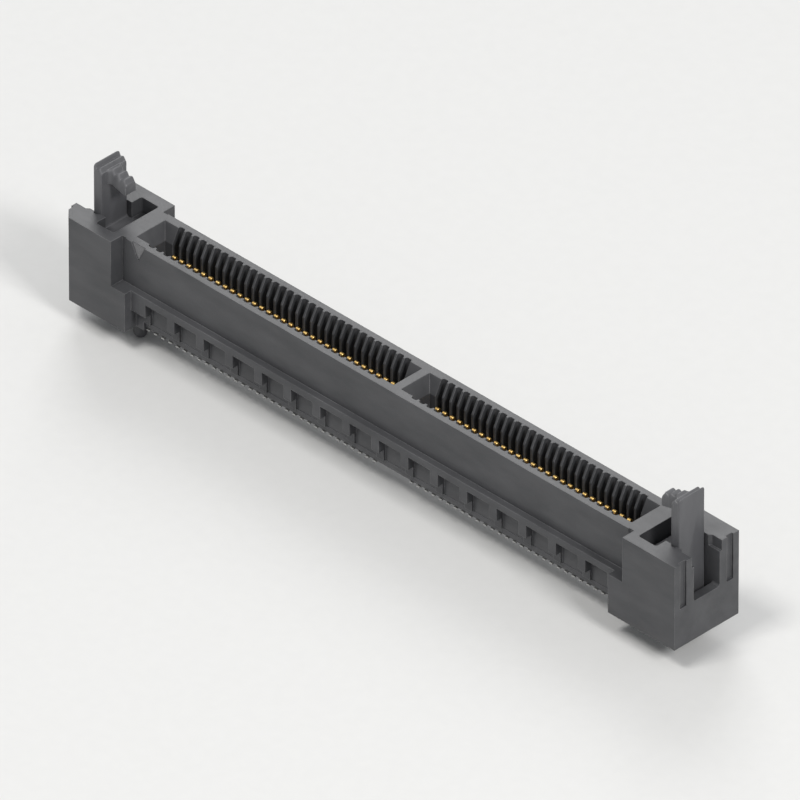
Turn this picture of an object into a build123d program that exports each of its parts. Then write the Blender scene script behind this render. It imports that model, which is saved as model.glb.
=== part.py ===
import math
import os

from build123d import *

os.makedirs("parts", exist_ok=True)

# Contact grid: two rows, with a key where four positions are missing
contact_pitch = 0.8
positions_before_key = 32
positions_in_key = 4
positions_after_key = 28
contacts_per_group = 4

# Housing envelope, with the board plane at z = 0
height = 7.8
ledge_height = 3.6
tower_width = 7.0
tower_length = 7.16
tower_step = 1.51
tower_to_contact = 1.16
corner_chamfer = 1.0

# Long body between the towers
wall_half_top = 2.32
wall_half_ledge = 2.23
skirt_half = 2.8
skirt_bottom = 1.77
lower_wall_half = 2.05
lower_wall_foot = 1.99
board_gap = 0.15
tower_relief_width = 0.5
tower_relief_depth = 0.1

# Windows in the skirt: a rib stands at every fourth contact
positions_per_window = 4
rib_width = 0.8
window_top = 2.98
rib_foot_half = 2.26
rib_foot_bottom = 0.78
end_block_length = 0.86

# Card slot
slot_floor = 2.2
slot_half = 0.895
lead_half = 1.565
lead_depth = 1.28
separator_half = 0.99
slot_end_wall = 0.89
key_wall = 0.79

# Contact channels in both long walls
channel_width = 0.61
channel_back = 1.8

# Contacts, blanked from sheet and stood on edge across the body
contact_thickness = 0.35
contact_fit = 0.02
tip_radius = 0.2
tip_half = 0.82
tip_height = 5.47
tip_facets = 3
stem_inner = 1.3
stem_outer = 1.72
foot_reach = 2.2
foot_height = 0.13

# Latch: a plate with a hook at the top and a round-heeled foot at the pivot
latch_half = 1.38
latch_side_gap = 0.04
latch_from_end = 1.64
plate_thickness = 0.88
plate_corner = 0.2
foot_length = 3.11
foot_top = 6.36
foot_chamfer = 0.15
foot_fillet = 0.45
pivot_height = 2.3
latch_top = 12.15
top_corner = 0.24
nose_half = 0.545
nose_reach = 1.82
nose_fillet = 0.4
nose_bottom = 10.07
nose_root = 10.35
nose_edge = 0.14
tooth_pitch = 0.61
tooth_fall = 0.2
tooth_depth = 0.3
tooth_front = 0.2
trunnion_radius = 0.6
trunnion_reach = 2.15
trunnion_gap = 0.05

# Latch pocket in each tower
pocket_floor = 0.6
pocket_inner_gap = 0.17
end_wall = 0.79
end_slot_corner = 0.25
end_relief_half = 1.65
end_relief_depth = 0.96
end_relief_length = 1.04
end_relief_taper = 0.25
bump_length = 0.57
bump_round = 0.2
catch_half = 1.63
catch_length = 0.54
stop_length = 0.6
wide_half = 2.48
wide_floor = 6.33

# Grooves down each end face
groove_width = 0.7
groove_centre = 2.555
groove_depth = 0.2

# Pin-one mark and locating pegs
mark_width = 1.5
mark_depth = 0.12
mark_length = 1.5
mark_from_tower = 1.82
peg_radius = 0.565
peg_reach = 2.02
peg_end_facets = 4
peg_from_tower = 0.8
peg_side = -1.0

# Places worked out from the driving sizes
position_count = positions_before_key + positions_in_key + positions_after_key
row_half = (position_count - 1) * contact_pitch / 2
first_after_key = positions_before_key + positions_in_key
positions = [i for i in range(position_count) if i < positions_before_key or i >= first_after_key]
contact_xs = [i * contact_pitch - row_half for i in positions]
key_centre = (positions_before_key + positions_in_key / 2 - 0.5) * contact_pitch - row_half
tower_inner = row_half + tower_to_contact
tower_outer = tower_inner + tower_length
tower_upper = tower_inner + tower_step
slot_end = tower_upper - slot_end_wall
tower_half = tower_width / 2
pocket_half = latch_half + latch_side_gap
latch_outer = tower_outer - latch_from_end
plate_inner = latch_outer - plate_thickness
foot_inner = latch_outer - foot_length
heel_radius = foot_length / 2
pivot_x = latch_outer - heel_radius
pocket_inner = foot_inner - pocket_inner_gap
rib_pitch = positions_per_window * contact_pitch
rib_count = position_count // positions_per_window
rib_xs = [k * rib_pitch - row_half for k in range(rib_count + 1)]
lead_inset = lead_half - slot_half
openings = [(-slot_end, key_centre - key_wall / 2), (key_centre + key_wall / 2, slot_end)]
sides = (-1, 1)


def comb_outline(start, end):
    """Plan of one stretch of slot: its plain ends, and channels with separators between."""
    far_side = [(start, slot_half)]
    zone_xs = [x for x in contact_xs if start < x < end]
    for x in zone_xs:
        left, right = x - channel_width / 2, x + channel_width / 2
        far_side += [
            (left, slot_half if x == zone_xs[0] else separator_half),
            (left, channel_back),
            (right, channel_back),
            (right, slot_half if x == zone_xs[-1] else separator_half),
        ]
    far_side.append((end, slot_half))
    return far_side + [(x, -y) for x, y in reversed(far_side)]


# Lead-ins at the mouth of the card slot, sloping in on all four sides
with BuildPart() as slot_mouths:
    with BuildSketch(Plane.YZ):
        with BuildLine():
            Polyline(
                (-lead_half, height),
                (lead_half, height),
                (slot_half, height - lead_depth),
                (-slot_half, height - lead_depth),
                close=True,
            )
        make_face()
    extrude(amount=tower_upper, both=True)
    with BuildSketch(Plane.XZ):
        for start, end in openings:
            with BuildLine():
                Polyline(
                    (start, height),
                    (end, height),
                    (end - lead_inset, height - lead_depth),
                    (start + lead_inset, height - lead_depth),
                    close=True,
                )
            make_face()
    extrude(amount=lead_half, both=True, mode=Mode.INTERSECT)

# Housing, one moulding
with BuildPart() as housing:
    # Towers: a wide base and a shorter upper part at each end
    for side in sides:
        with BuildSketch() as tower_base:
            with Locations((side * (tower_inner + tower_outer) / 2, 0)):
                Rectangle(tower_length, tower_width)
        extrude(amount=ledge_height)
        with BuildSketch(Plane.XY.offset(ledge_height)) as tower_top:
            with Locations((side * (tower_upper + tower_outer) / 2, 0)):
                Rectangle(tower_outer - tower_upper, tower_width)
        extrude(amount=height - ledge_height)

    # Long body: lower wall, skirt and the slightly flared upper wall
    with BuildSketch(Plane.YZ) as body_section:
        with BuildLine():
            Polyline(
                (0, board_gap),
                (lower_wall_foot, board_gap),
                (lower_wall_half, rib_foot_bottom),
                (lower_wall_half, skirt_bottom),
                (skirt_half, skirt_bottom),
                (skirt_half, ledge_height),
                (wall_half_ledge, ledge_height),
                (wall_half_top, height),
                (0, height),
                close=True,
            )
        make_face()
        mirror(about=Plane.YZ)
    extrude(amount=tower_upper, both=True)

    # Windows between the ribs, open below the skirt
    rib_centre = (rib_xs[0] + rib_xs[-1]) / 2
    window_width = rib_pitch - rib_width
    with BuildSketch(Plane.XY.offset(window_top)):
        for side in sides:
            with Locations((rib_centre, side * (lower_wall_half + skirt_half) / 2)):
                with GridLocations(rib_pitch, 1, rib_count, 1):
                    Rectangle(window_width, skirt_half - lower_wall_half)
    extrude(amount=skirt_bottom - window_top, mode=Mode.SUBTRACT)

    # A foot under each rib, and a block beside each tower
    with BuildSketch(Plane.XY.offset(rib_foot_bottom)):
        with Locations((rib_centre, 0)):
            with GridLocations(rib_pitch, 1, rib_count + 1, 1):
                Rectangle(rib_width, 2 * rib_foot_half)
    extrude(amount=skirt_bottom - rib_foot_bottom)
    with BuildSketch():
        for side in sides:
            with Locations((side * (tower_inner - end_block_length / 2), 0)):
                Rectangle(end_block_length, 2 * rib_foot_half)
    extrude(amount=skirt_bottom)

    # Tapered relief in the upper wall beside each tower, on both faces
    for relief_plane in (Plane.XZ.offset(wall_half_top - tower_relief_depth), Plane.XZ.offset(-wall_half_top)):
        with BuildSketch(relief_plane):
            for side in sides:
                with BuildLine():
                    Polyline(
                        (side * tower_upper, height),
                        (side * (tower_upper - tower_relief_width), height),
                        (side * tower_upper, ledge_height),
                        close=True,
                    )
                make_face()
        extrude(amount=tower_relief_depth, mode=Mode.SUBTRACT)

    # Latch pockets
    for side in sides:
        pocket_outer = tower_outer - end_wall
        with BuildSketch(Plane.XY.offset(pocket_floor)):
            with Locations((side * (pocket_inner + pocket_outer) / 2, 0)):
                Rectangle(pocket_outer - pocket_inner, 2 * pocket_half)
        extrude(amount=height - pocket_floor, mode=Mode.SUBTRACT)

        # Shallow wide part over the foot, and the catch that the plate sits in
        taper_end = tower_outer - end_relief_length - end_relief_taper
        catch_outer = taper_end - bump_length
        catch_inner = catch_outer - catch_length
        wide_outer = catch_inner - stop_length
        with BuildSketch(Plane.XY.offset(wide_floor)):
            with Locations((side * (pocket_inner + wide_outer) / 2, 0)):
                Rectangle(wide_outer - pocket_inner, 2 * wide_half)
            with BuildLine():
                catch_corner = catch_inner + catch_half - pocket_half
                Polyline(
                    (side * catch_inner, pocket_half),
                    (side * catch_corner, catch_half),
                    (side * catch_outer, catch_half),
                    (side * catch_outer, -catch_half),
                    (side * catch_corner, -catch_half),
                    (side * catch_inner, -pocket_half),
                    close=True,
                )
            make_face()
            with Locations((side * (catch_outer + bump_round / 2), 0)):
                Rectangle(bump_round, 2 * (pocket_half + bump_round))
            with Locations(
                (side * (catch_outer + bump_round), pocket_half + bump_round),
                (side * (catch_outer + bump_round), -pocket_half - bump_round),
            ):
                Circle(bump_round, mode=Mode.SUBTRACT)
        extrude(amount=height - wide_floor, mode=Mode.SUBTRACT)

        # Slot in the end wall that the plate leans out through
        with BuildSketch(Plane.YZ.offset(side * (tower_outer + pocket_outer) / 2)):
            with Locations((0, (ledge_height + height) / 2)):
                Rectangle(2 * pocket_half, height - ledge_height)
            lower = vertices().filter_by(lambda v: v.Z < height - end_slot_corner)
            fillet(lower, end_slot_corner)
        extrude(amount=end_wall / 2, both=True, mode=Mode.SUBTRACT)

        # Wider relief at the top of that slot, tapering into the pocket
        with BuildSketch(Plane.XY.offset(height)):
            with BuildLine():
                Polyline(
                    (side * tower_outer, end_relief_half),
                    (side * (tower_outer - end_relief_length), end_relief_half),
                    (side * taper_end, pocket_half),
                    (side * taper_end, -pocket_half),
                    (side * (tower_outer - end_relief_length), -end_relief_half),
                    (side * tower_outer, -end_relief_half),
                    close=True,
                )
            make_face()
        extrude(amount=-end_relief_depth, mode=Mode.SUBTRACT)

        # Blind bores for the latch's trunnions
        with BuildSketch(Plane.XZ):
            with Locations((side * pivot_x, pivot_height)):
                Circle(trunnion_radius + trunnion_gap)
        extrude(amount=trunnion_reach + trunnion_gap, both=True, mode=Mode.SUBTRACT)

        # Grooves down the end face
        with BuildSketch(Plane.YZ.offset(side * (tower_outer - groove_depth / 2))):
            with Locations(
                (groove_centre, (ledge_height + height) / 2),
                (-groove_centre, (ledge_height + height) / 2),
            ):
                Rectangle(groove_width, height - ledge_height)
        extrude(amount=groove_depth / 2, both=True, mode=Mode.SUBTRACT)

    # Bevelled outer front corner at the pin-one end
    with BuildSketch():
        with BuildLine():
            Polyline(
                (-tower_outer, -tower_half),
                (-tower_outer + corner_chamfer, -tower_half),
                (-tower_outer, -tower_half + corner_chamfer),
                close=True,
            )
        make_face()
    extrude(amount=height, mode=Mode.SUBTRACT)

    # Triangle that marks pin one, sunk in the front wall
    mark_x = mark_from_tower - tower_upper
    with BuildSketch(Plane.XZ.offset(wall_half_top - mark_depth)):
        with BuildLine():
            Polyline(
                (mark_x - mark_width / 2, height),
                (mark_x + mark_width / 2, height),
                (mark_x, height - mark_length),
                close=True,
            )
        make_face()
    extrude(amount=mark_depth, mode=Mode.SUBTRACT)

    # Locating pegs with round ends
    peg_angles = [math.pi / 2 * k / peg_end_facets for k in range(peg_end_facets + 1)]
    peg_end = [(peg_radius * math.cos(a), peg_radius - peg_reach - peg_radius * math.sin(a)) for a in peg_angles]
    for side in sides:
        peg_x = side * (tower_inner + peg_from_tower)
        with BuildSketch(Plane.XZ.offset(-peg_side)):
            with BuildLine():
                Polyline(
                    (peg_x, 0),
                    (peg_x + peg_radius, 0),
                    *[(peg_x + r, z) for r, z in peg_end],
                    close=True,
                )
            make_face()
        revolve(axis=Axis((peg_x, peg_side, 0), (0, 0, 1)), revolution_arc=360)

    # Card slot, either side of the key: the lead-in, then a channel for every contact beam
    add(slot_mouths.part, mode=Mode.SUBTRACT)
    for start, end in openings:
        with BuildSketch(Plane.XY.offset(slot_floor)):
            with BuildLine():
                Polyline(*comb_outline(start + lead_inset, end - lead_inset), close=True)
            make_face()
        extrude(amount=height - slot_floor, mode=Mode.SUBTRACT)

    # Narrow passages through the floor that grip the contact stems
    with BuildSketch():
        for side in sides:
            with Locations(*[(x, side * (stem_inner + stem_outer) / 2) for x in contact_xs]):
                Rectangle(contact_thickness + 2 * contact_fit, stem_outer - stem_inner + 2 * contact_fit)
    extrude(amount=slot_floor, mode=Mode.SUBTRACT)

housing.part.label = "housing"
export_step(housing.part, "parts/housing.step")


def tooth_line(outer_x, inner_x):
    """Crests and valleys of the thumb serration, from the outer face inboard."""
    points = []
    crest_x, crest_z = outer_x, latch_top
    while crest_x - tooth_front > inner_x:
        points.append((crest_x, crest_z))
        points.append((crest_x - tooth_front, crest_z - tooth_depth))
        crest_x -= tooth_pitch
        crest_z -= tooth_fall
    return points


# Right latch, moulded in one piece with its hook, foot and trunnions
nose_tip = plate_inner - nose_reach
with BuildPart() as right_latch:
    # Head and plate from the side
    teeth = tooth_line(latch_outer, nose_tip)
    tip_top = teeth[-1][1]
    with BuildSketch(Plane.XZ):
        with BuildLine():
            Polyline(
                (plate_inner, pivot_height),
                (latch_outer, pivot_height),
                *teeth,
                (nose_tip, tip_top),
                (nose_tip, nose_bottom),
                (plate_inner, nose_root),
                close=True,
            )
        make_face()
    extrude(amount=latch_half, both=True)

    # From above, the plate narrows to the nose
    with BuildSketch(Plane.XY.offset(pivot_height)) as head_plan:
        with Locations(((plate_inner + latch_outer) / 2, 0)):
            Rectangle(plate_thickness, 2 * latch_half)
        fillet(vertices(), plate_corner)
        with Locations(((plate_inner + nose_tip) / 2, 0)):
            Rectangle(nose_reach, 2 * nose_half)
        roots = vertices().filter_by(
            lambda v: abs(v.X - plate_inner) < nose_edge and abs(v.Y) < nose_half + nose_edge
        )
        fillet(roots, nose_fillet)
    extrude(amount=latch_top - pivot_height, mode=Mode.INTERSECT)

    # From the end, the top corners are round
    with BuildSketch(Plane.YZ.offset(nose_tip)):
        with Locations((0, (pivot_height + latch_top) / 2)):
            Rectangle(2 * latch_half, latch_top - pivot_height)
        upper = vertices().group_by(Axis.Z)[-1]
        fillet(upper, top_corner)
    extrude(amount=latch_outer - nose_tip, mode=Mode.INTERSECT)

    # Foot with a round heel about the pivot
    with BuildSketch(Plane.XZ):
        with Locations((pivot_x, (pivot_height + foot_top) / 2)):
            Rectangle(foot_length, foot_top - pivot_height)
        with Locations((pivot_x, pivot_height)):
            Circle(heel_radius)
    extrude(amount=latch_half, both=True)
    foot_edges = edges().filter_by(Axis.Y).filter_by(lambda e: abs(e.center().Z - foot_top) < foot_chamfer)
    chamfer(foot_edges.sort_by(Axis.X)[0], foot_chamfer)
    inner_corner = Vector(plate_inner, 0, foot_top)
    fillet(edges().filter_by(Axis.Y).sort_by_distance(inner_corner)[0], foot_fillet)

    # Trunnions
    with BuildSketch(Plane.XZ):
        with Locations((pivot_x, pivot_height)):
            Circle(trunnion_radius)
    extrude(amount=trunnion_reach, both=True)

right_latch.part.label = "right_latch"
export_step(right_latch.part, "parts/right_latch.step")

# Left latch, the mirror image
with BuildPart() as left_latch:
    mirror(right_latch.part, about=Plane.YZ)

left_latch.part.label = "left_latch"
export_step(left_latch.part, "parts/left_latch.step")


def contact_outline(side):
    """Tip, beam, stem and solder foot of one contact, across the body."""
    tip_angles = [math.pi * k / tip_facets for k in range(tip_facets + 1)]
    tip = [(tip_half + tip_radius * math.cos(a), tip_height + tip_radius * math.sin(a)) for a in tip_angles]
    outline = tip + [
        (stem_inner, slot_floor),
        (stem_inner, 0),
        (foot_reach, 0),
        (foot_reach, foot_height),
        (stem_outer, foot_height),
        (stem_outer, slot_floor),
    ]
    return [(side * y, z) for y, z in outline]


# Contacts, in groups of four along each row
for row_name, side in (("front", -1), ("back", 1)):
    for start in range(0, len(contact_xs), contacts_per_group):
        with BuildPart() as contact_group:
            for x in contact_xs[start : start + contacts_per_group]:
                with BuildSketch(Plane.YZ.offset(x)):
                    with BuildLine():
                        Polyline(*contact_outline(side), close=True)
                    make_face()
                extrude(amount=contact_thickness / 2, both=True)
        group_name = f"contacts_{row_name}_{start // contacts_per_group + 1:02d}"
        contact_group.part.label = group_name
        export_step(contact_group.part, f"parts/{group_name}.step")
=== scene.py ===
import math

import bmesh
import bpy
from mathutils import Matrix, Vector


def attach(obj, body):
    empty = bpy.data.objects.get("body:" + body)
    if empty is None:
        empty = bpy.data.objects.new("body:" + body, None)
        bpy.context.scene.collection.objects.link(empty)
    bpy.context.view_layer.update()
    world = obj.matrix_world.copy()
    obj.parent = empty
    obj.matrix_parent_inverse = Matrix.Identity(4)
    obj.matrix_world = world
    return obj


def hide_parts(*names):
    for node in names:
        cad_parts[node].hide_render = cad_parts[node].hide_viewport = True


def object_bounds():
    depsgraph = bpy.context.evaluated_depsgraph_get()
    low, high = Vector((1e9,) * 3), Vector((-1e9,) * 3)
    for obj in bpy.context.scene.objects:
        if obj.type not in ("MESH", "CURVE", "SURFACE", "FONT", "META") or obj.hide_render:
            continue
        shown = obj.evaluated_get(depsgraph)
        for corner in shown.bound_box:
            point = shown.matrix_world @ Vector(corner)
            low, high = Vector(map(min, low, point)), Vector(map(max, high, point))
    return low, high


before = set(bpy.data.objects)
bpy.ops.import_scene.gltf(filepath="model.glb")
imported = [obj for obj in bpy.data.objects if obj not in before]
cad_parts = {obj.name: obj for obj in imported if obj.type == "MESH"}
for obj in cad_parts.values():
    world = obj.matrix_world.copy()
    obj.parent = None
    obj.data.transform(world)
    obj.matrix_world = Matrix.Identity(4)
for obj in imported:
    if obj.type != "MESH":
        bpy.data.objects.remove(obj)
cadLow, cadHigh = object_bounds()
mm = 0.001
print("frame loaded,", len(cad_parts), "nodes")

scene = bpy.context.scene
scene.view_settings.view_transform = "Standard"


def newMaterial(name):
    material = bpy.data.materials.new(name)
    material.use_nodes = True
    return material, material.node_tree, material.node_tree.nodes["Principled BSDF"]


def addNode(tree, kind, values=None, **settings):
    node = tree.nodes.new(kind)
    for key, value in settings.items():
        setattr(node, key, value)
    for key, value in (values or {}).items():
        node.inputs[key].default_value = value
    return node


def addNoise(tree, coords, scale, detail, stretch=(1, 1, 1)):
    mapping = addNode(tree, "ShaderNodeMapping", {"Scale": stretch})
    noise = addNode(tree, "ShaderNodeTexNoise", {"Scale": scale, "Detail": detail})
    tree.links.new(coords.outputs["Object"], mapping.inputs["Vector"])
    tree.links.new(mapping.outputs["Vector"], noise.inputs["Vector"])
    return noise.outputs["Fac"]


# Most of a noise texture's values lie within the wide span, and the narrow one gives more contrast
wideSpan = (0.3, 0.7)
narrowSpan = (0.35, 0.65)


def remap(tree, value, span, target=(0, 1)):
    ends = {"From Min": span[0], "From Max": span[1], "To Min": target[0], "To Max": target[1]}
    node = addNode(tree, "ShaderNodeMapRange", ends)
    tree.links.new(value, node.inputs["Value"])
    return node.outputs["Result"]


def mixColours(tree, factor, first, second):
    # inputs 6 and 7 and output 2 are the mix node's colour sockets
    node = addNode(tree, "ShaderNodeMix", data_type="RGBA")
    tree.links.new(factor, node.inputs[0])
    for value, socket in ((first, node.inputs[6]), (second, node.inputs[7])):
        if isinstance(value, tuple):
            socket.default_value = (*value, 1)
        else:
            tree.links.new(value, socket)
    return node.outputs[2]


def addBump(tree, shader, height, strength, depth):
    bump = addNode(tree, "ShaderNodeBump", {"Strength": strength, "Distance": depth})
    tree.links.new(height, bump.inputs["Height"])
    tree.links.new(bump.outputs["Normal"], shader.inputs["Normal"])
    return bump


# Moulded plastic: flow mottling, fine spark-eroded grain, and edges that are a little rounded, painted paler
# along them as partly rub wear and partly a painted highlight
sharedPlastic = {
    "flowScale": 700,
    "edgeSpan": (1.0, 0.8),
    "edgeSamples": 8,
    "wearAndHighlightShare": (0.25, 1.0),
    "grainStrength": 0.6,
    "specular": 0.35,
}
plastics = {
    "housing": {
        **sharedPlastic,
        "dark": (0.057, 0.058, 0.062),
        "light": (0.081, 0.082, 0.087),
        # paler edge colour: partly rub wear, partly a painted highlight
        "wearAndHighlight": (0.21, 0.21, 0.215),
        "rough": (0.38, 0.54),
        "grainScale": 16000,
        "grainDepth": 0.006 * mm,
        "edgeRadius": 0.08 * mm,
        "flowStretch": (0.35, 1.0, 1.0),
    },
    "latch": {
        **sharedPlastic,
        "dark": (0.095, 0.096, 0.102),
        "light": (0.115, 0.116, 0.123),
        # paler edge colour: partly rub wear, partly a painted highlight
        "wearAndHighlight": (0.34, 0.34, 0.35),
        "rough": (0.30, 0.42),
        "grainScale": 22000,
        "grainDepth": 0.003 * mm,
        "edgeRadius": 0.05 * mm,
        "flowStretch": (1.0, 1.0, 0.4),
    },
}


def makePlastic(name, look):
    material, tree, shader = newMaterial(name)
    coords = addNode(tree, "ShaderNodeTexCoord")
    flow = addNoise(tree, coords, look["flowScale"], 4, look["flowStretch"])
    grain = addNoise(tree, coords, look["grainScale"], 2)
    body = mixColours(tree, remap(tree, flow, wideSpan), look["dark"], look["light"])

    # where the rounded normal leaves the flat one there is an edge, painted paler as partly rub wear and
    # partly a painted highlight, more in some places than in others
    rounded = addNode(tree, "ShaderNodeBevel", {"Radius": look["edgeRadius"]}, samples=look["edgeSamples"])
    geometry = addNode(tree, "ShaderNodeNewGeometry")
    facing = addNode(tree, "ShaderNodeVectorMath", operation="DOT_PRODUCT")
    tree.links.new(rounded.outputs["Normal"], facing.inputs[0])
    tree.links.new(geometry.outputs["True Normal"], facing.inputs[1])
    edge = remap(tree, facing.outputs["Value"], look["edgeSpan"])
    wearAndHighlight = addNode(tree, "ShaderNodeMath", operation="MULTIPLY")
    tree.links.new(edge, wearAndHighlight.inputs[0])
    tree.links.new(remap(tree, flow, narrowSpan, look["wearAndHighlightShare"]), wearAndHighlight.inputs[1])
    colour = mixColours(tree, wearAndHighlight.outputs[0], body, look["wearAndHighlight"])
    tree.links.new(colour, shader.inputs["Base Color"])

    tree.links.new(remap(tree, grain, wideSpan, look["rough"]), shader.inputs["Roughness"])
    bump = addBump(tree, shader, grain, look["grainStrength"], look["grainDepth"])
    tree.links.new(rounded.outputs["Normal"], bump.inputs["Normal"])
    shader.inputs["Specular IOR Level"].default_value = look["specular"]
    return material


# Contact strip: gold above the slot's floor, dull tin on the solder tail, rolling lines along the sheet
contactLook = {
    "gold": (0.86, 0.60, 0.22),
    "goldShade": (0.74, 0.48, 0.16),
    "tin": (0.34, 0.34, 0.335),
    "plateLine": (1.9 * mm, 2.3 * mm),
    "rough": (0.30, 0.44),
    "lineStretch": (60, 60, 3),
    "lineScale": 300,
    "lineStrength": 0.25,
    "lineDepth": 0.004 * mm,
    "cloudScale": 2600,
}


def makeContactMetal(look):
    material, tree, shader = newMaterial("contactMetal")
    coords = addNode(tree, "ShaderNodeTexCoord")
    lines = addNoise(tree, coords, look["lineScale"], 3, look["lineStretch"])
    cloud = addNoise(tree, coords, look["cloudScale"], 2)
    split = addNode(tree, "ShaderNodeSeparateXYZ")
    tree.links.new(coords.outputs["Object"], split.inputs["Vector"])
    gold = mixColours(tree, remap(tree, cloud, narrowSpan), look["gold"], look["goldShade"])
    up = remap(tree, split.outputs["Z"], look["plateLine"])
    tree.links.new(mixColours(tree, up, look["tin"], gold), shader.inputs["Base Color"])
    tree.links.new(remap(tree, lines, wideSpan, look["rough"]), shader.inputs["Roughness"])
    addBump(tree, shader, lines, look["lineStrength"], look["lineDepth"])
    shader.inputs["Metallic"].default_value = 1
    return material


housingPlastic = makePlastic("housingPlastic", plastics["housing"])
cornerPlastic = makePlastic("cornerPlastic", {**plastics["housing"], "edgeRadius": 0})
latchPlastic = makePlastic("latchPlastic", plastics["latch"])
contactMetal = makeContactMetal(contactLook)

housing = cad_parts["housing"].data
housing.materials.clear()
housing.materials.append(housingPlastic)
print("plastic on the housing")


# Contacts: a blade on edge, with a round tip, a sprung beam, a straight stem and a rounded solder foot
contactShape = {
    "pitch": 0.8,
    "beforeKey": 32,
    "atKey": 4,
    "afterKey": 28,
    "perGroup": 4,
    "thickness": 0.36,
    "tip": (0.82, 5.47),
    "tipRadius": 0.2,
    "tipArc": (-20, 200),
    "tipSteps": 14,
    "rootInner": (1.24, 2.2),
    "rootOuter": (1.56, 2.2),
    "shoulder": 0.12,
    "stem": (1.3, 1.72),
    "footReach": 2.14,
    "footHeight": 0.15,
    "heelRadius": 0.22,
    "ankleRadius": 0.1,
    "footSteps": 6,
    "ankleSteps": 4,
    "edge": 0.05,
    "edgeSegments": 2,
    "edgeAngle": 60,
}


def arcPoints(centre, radius, start, end, steps):
    angles = [math.radians(start + (end - start) * k / steps) for k in range(steps + 1)]
    return [(centre[0] + radius * math.cos(a), centre[1] + radius * math.sin(a)) for a in angles]


def contactOutline(shape):
    stemInner, stemOuter = shape["stem"]
    heel, ankle = shape["heelRadius"], shape["ankleRadius"]
    foot, reach = shape["footHeight"], shape["footReach"]
    points = arcPoints(shape["tip"], shape["tipRadius"], *shape["tipArc"], shape["tipSteps"])
    points += [shape["rootInner"], (stemInner, shape["rootInner"][1] - shape["shoulder"])]
    points += arcPoints((stemInner + heel, heel), heel, 180, 270, shape["footSteps"])
    points += arcPoints((reach - foot / 2, foot / 2), foot / 2, -90, 90, shape["footSteps"])
    points += arcPoints((stemOuter + ankle, foot + ankle), ankle, 270, 180, shape["ankleSteps"])
    points += [(stemOuter, shape["rootOuter"][1] - shape["shoulder"]), shape["rootOuter"]]
    return points


def addBlade(mesh, outline, x, thickness, side):
    near = [mesh.verts.new(Vector((x - thickness / 2, side * y, z)) * mm) for y, z in outline]
    far = [mesh.verts.new(Vector((x + thickness / 2, side * y, z)) * mm) for y, z in outline]
    mesh.faces.new(near)
    mesh.faces.new(far)
    count = len(outline)
    for k in range(count):
        mesh.faces.new((near[k], near[(k + 1) % count], far[(k + 1) % count], far[k]))


def finishMesh(mesh, name, material, body, smoothAngle=35):
    bmesh.ops.recalc_face_normals(mesh, faces=mesh.faces)
    data = bpy.data.meshes.new(name)
    mesh.to_mesh(data)
    mesh.free()
    data.shade_smooth()
    data.set_sharp_from_angle(angle=math.radians(smoothAngle))
    data.materials.append(material)
    piece = bpy.data.objects.new(name, data)
    scene.collection.objects.link(piece)
    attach(piece, body)
    return piece


def addLoft(mesh, sections, hand=1):
    rings = [[mesh.verts.new(Vector((hand * x, y, z)) * mm) for x, y, z in ring] for ring in sections]
    for low, high in zip(rings, rings[1:]):
        for k in range(len(low)):
            n = (k + 1) % len(low)
            mesh.faces.new((low[k], low[n], high[n], high[k]))
    mesh.faces.new(rings[0])
    mesh.faces.new(rings[-1])


def contactPlaces(shape):
    total = shape["beforeKey"] + shape["atKey"] + shape["afterKey"]
    half = (total - 1) * shape["pitch"] / 2
    kept = [i for i in range(total) if not shape["beforeKey"] <= i < total - shape["afterKey"]]
    return [i * shape["pitch"] - half for i in kept]


def makeContacts(shape):
    xs = contactPlaces(shape)
    outline = contactOutline(shape)
    for row, side in (("front", -1), ("back", 1)):
        for group in range(len(xs) // shape["perGroup"]):
            mesh = bmesh.new()
            for x in xs[group * shape["perGroup"] : (group + 1) * shape["perGroup"]]:
                addBlade(mesh, outline, x, shape["thickness"], side)
            number = f"{row}_{group + 1:02d}"
            piece = finishMesh(mesh, "contactBlades_" + number, contactMetal, "housing")
            soften = piece.modifiers.new("edges", "BEVEL")
            soften.width = shape["edge"] * mm
            soften.segments = shape["edgeSegments"]
            soften.limit_method = "ANGLE"
            soften.angle_limit = math.radians(shape["edgeAngle"])
            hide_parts("contacts_" + number)


makeContacts(contactShape)
print("contacts made")

# Rounded corners: at the back of every contact channel, and in the shallow pocket over each latch's foot
channelShape = {"width": 0.61, "back": 1.8, "radius": 0.2, "floor": 2.2, "top": 7.8, "steps": 5}
pocketShape = {"ends": (28.6, 30.52), "back": 2.48, "radius": 0.2, "floor": 6.33, "top": 7.8, "steps": 5}


def makeCorners(name, shape, walls):
    radius, back = shape["radius"], shape["back"]
    arc = arcPoints((0, 0), radius, 0, 90, shape["steps"])
    mesh = bmesh.new()
    for wall, hand in walls:
        for side in (-1, 1):
            plan = [(wall, side * back)]
            plan += [(wall - hand * (radius - a), side * (back - radius + b)) for a, b in arc]
            addLoft(mesh, [[(x, y, z) for x, y in plan] for z in (shape["floor"], shape["top"])])
    piece = finishMesh(mesh, name, cornerPlastic, "housing")


halfWidth = channelShape["width"] / 2
channelWalls = [(x + hand * halfWidth, hand) for x in contactPlaces(contactShape) for hand in (-1, 1)]
pocketWalls = [(end * x, end * hand) for end in (-1, 1) for x, hand in zip(pocketShape["ends"], (-1, 1))]
makeCorners("channelCorners", channelShape, channelWalls)
makeCorners("pocketCorners", pocketShape, pocketWalls)
print("corners rounded")

# The foot of the lower wall is a slightly proud band with a round lower edge
bandShape = {
    "reach": 25.55,
    "profile": [
        (1.9, 0.80), (2.075, 0.80), (2.095, 0.775), (2.09, 0.56), (2.07, 0.38),
        (2.03, 0.25), (1.97, 0.185), (1.9, 0.17),
    ],
}


def makeBands(shape):
    mesh = bmesh.new()
    ends = (-shape["reach"], shape["reach"])
    for side in (-1, 1):
        addLoft(mesh, [[(x, side * y, z) for y, z in shape["profile"]] for x in ends])
    piece = finishMesh(mesh, "wallBands", housingPlastic, "housing")


makeBands(bandShape)
print("bands made")

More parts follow.
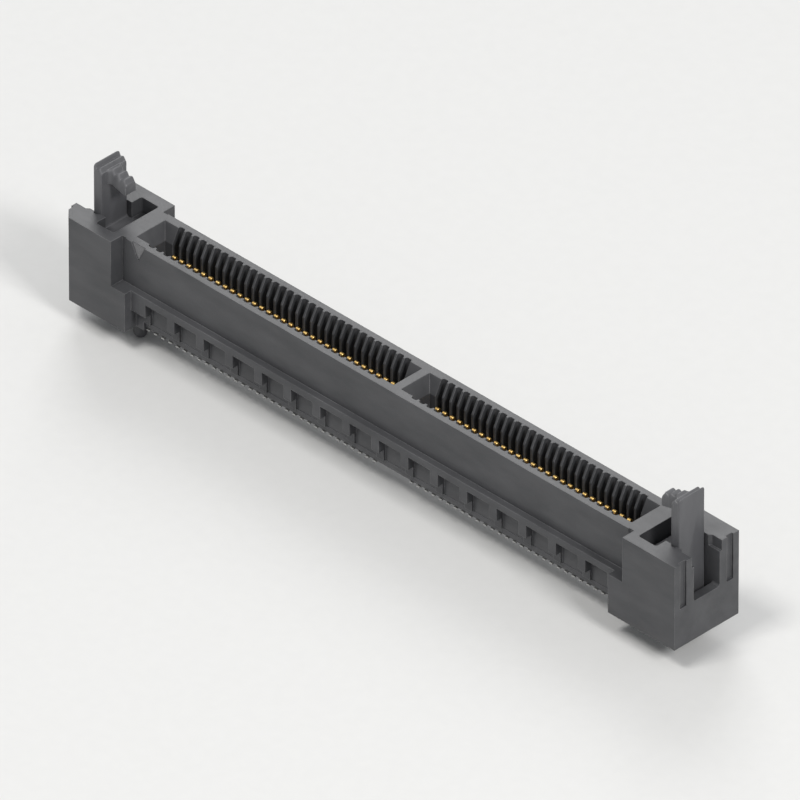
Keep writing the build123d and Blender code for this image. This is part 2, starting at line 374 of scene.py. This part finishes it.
# The sunk triangle at pin one has a coarser, paler floor than the wall around it
markShape = {
    "middle": -26.05,
    "width": 1.5,
    "top": 7.8,
    "length": 1.5,
    "inset": 0.05,
    "floor": 2.2,
    "thickness": 0.02,
    "stipple": 26000,
    "stippleSpan": (0.4, 0.6),
    "dark": (0.145, 0.145, 0.15),
    "light": (0.215, 0.215, 0.22),
    "rough": 0.7,
    "grainStrength": 0.6,
    "grainDepth": 0.01 * mm,
}


def makeMark(shape):
    material, tree, shader = newMaterial("markFloor")
    coords = addNode(tree, "ShaderNodeTexCoord")
    grain = addNoise(tree, coords, shape["stipple"], 2)
    colour = mixColours(tree, remap(tree, grain, shape["stippleSpan"]), shape["dark"], shape["light"])
    tree.links.new(colour, shader.inputs["Base Color"])
    addBump(tree, shader, grain, shape["grainStrength"], shape["grainDepth"])
    shader.inputs["Roughness"].default_value = shape["rough"]

    # a thin sheet on the recess's floor, a little inside its three sides
    half, middle, inset = shape["width"] / 2, shape["middle"], shape["inset"]
    top, floor, thickness = shape["top"], shape["floor"], shape["thickness"]
    plan = [(middle - half + 2 * inset, top - inset), (middle + half - 2 * inset, top - inset)]
    plan += [(middle, top - shape["length"] + 2.2 * inset)]
    mesh = bmesh.new()
    addLoft(mesh, [[(x, -y, z) for x, z in plan] for y in (floor - thickness, floor + thickness)])
    piece = finishMesh(mesh, "pinOneMark", material, "housing")


makeMark(markShape)
print("pin-one mark made")

# Latches: a plate and a nose under one serrated top line, on a foot with a round heel and two trunnions
latchShape = {
    "outer": 31.89,
    "inner": 30.99,
    "half": 1.39,
    "corner": 0.1,
    "top": 12.15,
    "overhang": 0.01,
    "crestFlat": 0.1,
    "toothPitch": 0.61,
    "toothFall": 0.2,
    "valley": (0.2, 0.35),
    "crestRadius": 0.07,
    "valleyRadius": 0.04,
    "sideRadius": 0.25,
    "plateBottom": 3.0,
    "noseTip": 29.18,
    "noseHalf": 0.545,
    "noseFlare": 0.4,
    "noseBottom": (9.97, 10.45),
    "noseTipRadius": 0.15,
    "noseRoot": 0.2,
    "footHalf": 1.38,
    "footInner": 28.77,
    "footTop": 6.36,
    "footChamfer": 0.15,
    "footFillet": 0.15,
    "footInset": 0.05,
    "pivot": (30.325, 2.3),
    "heel": 1.555,
    "trunnion": (0.6, 2.15),
    "bendSteps": 6,
    "filletSteps": 8,
    "heelSteps": 28,
    "pinPoints": 24,
    "smoothAngle": 30,
}


def roundCorners(points, radii, steps=4, most=0.48):
    # the first and last points stay, every other corner becomes an arc that takes under half of each side
    line = [points[0]]
    for before, corner, after, radius in zip(points, points[1:], points[2:], radii):
        corner = Vector(corner)
        first, second = Vector(before) - corner, Vector(after) - corner
        turn = math.pi - first.angle(second)
        reach = min(radius * math.tan(turn / 2), first.length * most, second.length * most)
        start, end = corner + first.normalized() * reach, corner + second.normalized() * reach
        for k in range(steps + 1):
            t = k / steps
            line.append(tuple(start * (1 - t) ** 2 + corner * 2 * t * (1 - t) + end * t**2))
    return line + [points[-1]]


def roundOff(distance, radius):
    # how far a rounded edge falls short at this distance from it
    if distance >= radius:
        return 0
    return radius - math.sqrt(radius**2 - (radius - distance) ** 2)


def toothLine(shape):
    # crests and valleys from the outer side down to the nose's tip, a little past it at both ends
    dx, dz = shape["valley"]
    x, z = shape["outer"], shape["top"]
    points, radii = [(x + shape["overhang"], z), (x - shape["crestFlat"], z)], [shape["crestRadius"]]
    while x - dx > shape["noseTip"]:
        points.append((x - dx - (shape["crestFlat"] / 2 if len(points) == 2 else 0), z - dz))
        x, z = x - shape["toothPitch"], z - shape["toothFall"]
        points.append((x, z))
        radii += [shape["valleyRadius"], shape["crestRadius"]]
    points[-1] = (shape["noseTip"] - shape["overhang"], points[-2][1])
    return roundCorners(points, radii[: len(points) - 2])


def heightAt(line, x):
    for (x1, z1), (x2, z2) in zip(line, line[1:]):
        if x2 <= x <= x1:
            return z1 + (z2 - z1) * (x1 - x) / max(x1 - x2, 1e-9)
    return line[-1][1]


def latchSection(shape, x, half, top, bottom):
    radius = shape["sideRadius"]
    side = [(half, bottom)] + arcPoints((half - radius, top - radius), radius, 0, 90, shape["bendSteps"])
    return [(x, y, z) for y, z in side] + [(x, -y, z) for y, z in reversed(side)]


def makeLatch(shape, name, hand):
    line = toothLine(shape)
    outer, inner, tip = shape["outer"], shape["inner"], shape["noseTip"]
    corner, flare = shape["corner"], shape["noseFlare"]
    steps = shape["bendSteps"]
    bends = [1 - math.cos(math.radians(90 * k / steps)) for k in range(steps + 1)]
    mesh = bmesh.new()

    # plate: round at its four upright edges, and along its top
    xs = {outer - corner * b for b in bends} | {inner + corner * b for b in bends}
    xs |= {x for x, z in line if inner < x < outer}
    plate = []
    for x in sorted(xs):
        edge = roundOff(min(outer - x, x - inner), corner)
        half, top = shape["half"] - edge, heightAt(line, x) - edge / 2
        plate.append(latchSection(shape, x, half, top, shape["plateBottom"]))
    addLoft(mesh, plate, hand)

    # nose: flares into the plate, its underside rises towards it, and its root ends inside the plate
    low, high = shape["noseBottom"]
    radius, root = shape["noseTipRadius"], shape["noseRoot"]
    xs = {tip + radius * b for b in bends} | {inner - flare * b for b in bends} | {inner + root}
    xs |= {x for x, z in line if tip < x < inner}
    nose = []
    for x in sorted(xs):
        if x <= inner:
            half = shape["noseHalf"] + roundOff(inner - x, flare)
            top = heightAt(line, x) - roundOff(x - tip, corner)
        else:
            half = shape["noseHalf"] + flare
            top = heightAt(line, x) - root
        bottom = low + (high - low) * (x - tip) / (inner - tip) + roundOff(x - tip, radius)
        nose.append(latchSection(shape, x, half, top, bottom))
    addLoft(mesh, nose, hand)

    # foot, seen from the side, and the trunnions through it
    top, bevel, fillet = shape["footTop"], shape["footChamfer"], shape["footFillet"]
    foot = [(shape["footInner"], top - bevel), (shape["footInner"] + bevel, top)]
    foot += arcPoints((inner - fillet, top + fillet), fillet, 270, 360, shape["filletSteps"])
    back = outer - shape["footInset"]
    foot += [(back, top + fillet), (back, top)]
    foot += arcPoints(shape["pivot"], shape["heel"], 0, -180, shape["heelSteps"])
    half = shape["footHalf"]
    addLoft(mesh, [[(x, y, z) for x, z in foot] for y in (-half, half)], hand)
    radius, reach = shape["trunnion"]
    count = shape["pinPoints"]
    pin = arcPoints(shape["pivot"], radius, 0, 360 - 360 / count, count - 1)
    addLoft(mesh, [[(x, y, z) for x, z in pin] for y in (-reach, reach)], hand)

    piece = finishMesh(mesh, "latch_" + name, latchPlastic, name + "_latch", shape["smoothAngle"])
    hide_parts(name + "_latch")


makeLatch(latchShape, "left", -1)
makeLatch(latchShape, "right", 1)
print("latches made")


# A pale floor that the pegs touch, and a world of the same tone behind it
room = {
    "floorSize": 3.0,
    "floorColour": (0.77, 0.77, 0.76),
    "speckTone": 0.985,
    "speckScale": 900,
    "floorRough": 0.9,
    "floorSpecular": 0.1,
    "behind": (0.88, 0.88, 0.868),
    "ambient": (0.95, 0.97, 1.0),
    "ambientStrength": 0.36,
}


def makeRoom(look):
    material, tree, shader = newMaterial("paleFloor")
    coords = addNode(tree, "ShaderNodeTexCoord")
    speck = addNoise(tree, coords, look["speckScale"], 3)
    floorTone = tuple(c * look["speckTone"] for c in look["floorColour"])
    colour = mixColours(tree, remap(tree, speck, wideSpan), floorTone, look["floorColour"])
    tree.links.new(colour, shader.inputs["Base Color"])
    shader.inputs["Roughness"].default_value = look["floorRough"]
    shader.inputs["Specular IOR Level"].default_value = look["floorSpecular"]

    mesh = bmesh.new()
    half, z = look["floorSize"] / 2, cadLow.z
    corners = ((-half, -half, z), (half, -half, z), (half, half, z), (-half, half, z))
    mesh.faces.new([mesh.verts.new(corner) for corner in corners])
    data = bpy.data.meshes.new("floor")
    mesh.to_mesh(data)
    mesh.free()
    data.materials.append(material)
    floor = bpy.data.objects.new("floor", data)
    scene.collection.objects.link(floor)

    # the world lights softly, and what the camera and reflections see of it is as pale as the floor
    world = bpy.data.worlds.new("studio")
    scene.world = world
    world.use_nodes = True
    tree = world.node_tree
    light = tree.nodes["Background"]
    light.inputs["Color"].default_value = (*look["ambient"], 1)
    light.inputs["Strength"].default_value = look["ambientStrength"]
    shown = addNode(tree, "ShaderNodeBackground", {"Color": (*look["behind"], 1), "Strength": 1})
    path = addNode(tree, "ShaderNodeLightPath")
    seen = path.outputs["Is Camera Ray"]
    for kind in ("Is Glossy Ray", "Is Transmission Ray"):
        either = addNode(tree, "ShaderNodeMath", operation="MAXIMUM")
        tree.links.new(seen, either.inputs[0])
        tree.links.new(path.outputs[kind], either.inputs[1])
        seen = either.outputs[0]
    mix = addNode(tree, "ShaderNodeMixShader")
    tree.links.new(seen, mix.inputs[0])
    tree.links.new(light.outputs[0], mix.inputs[1])
    tree.links.new(shown.outputs[0], mix.inputs[2])
    tree.links.new(mix.outputs[0], tree.nodes["World Output"].inputs["Surface"])


makeRoom(room)

# Soft lamps: one high in front that reaches into the slot, one behind that skims the top faces,
# and one beside it that sets the end faces apart from the long wall
lamps = {
    "keyLamp": {"place": (-0.07, -0.40, 0.80), "size": 0.24, "power": 3.0, "colour": (1.0, 0.985, 0.96)},
    "backLamp": {"place": (-0.55, 0.55, 0.55), "size": 0.45, "power": 3.2, "colour": (1.0, 1.0, 1.0)},
    "sideLamp": {"place": (0.66, -0.08, 0.56), "size": 0.22, "power": 3.4, "colour": (1.0, 0.99, 0.98)},
}


def aimAt(thing, target):
    thing.rotation_mode = "QUATERNION"
    thing.rotation_quaternion = (Vector(target) - thing.location).to_track_quat("-Z", "Y")


def makeLamp(name, lamp):
    data = bpy.data.lights.new(name, "AREA")
    data.size = lamp["size"]
    data.energy = lamp["power"]
    data.color = lamp["colour"]
    light = bpy.data.objects.new(name, data)
    scene.collection.objects.link(light)
    light.location = lamp["place"]
    aimAt(light, (0, 0, 0))


for name, lamp in lamps.items():
    makeLamp(name, lamp)
print("floor, world and lamps made")

# The drawing is isometric, so the camera stands far off with a long lens
cameraSettings = {
    "target": (0.213, 0.120, 5.047),
    "towards": (1, -1, 1),
    "lens": 1500,
    "sensor": 36,
    "frameWidth": 61.66,
    "clip": (0.1, 20),
}


def makeCamera(look):
    data = bpy.data.cameras.new("camera")
    data.lens = look["lens"]
    data.sensor_width = look["sensor"]
    data.clip_start, data.clip_end = look["clip"]
    distance = look["frameWidth"] / look["sensor"] * look["lens"] * mm
    camera = bpy.data.objects.new("camera", data)
    scene.collection.objects.link(camera)
    target = Vector(look["target"]) * mm
    camera.location = target + Vector(look["towards"]).normalized() * distance
    aimAt(camera, target)
    scene.camera = camera


makeCamera(cameraSettings)
print("camera set")
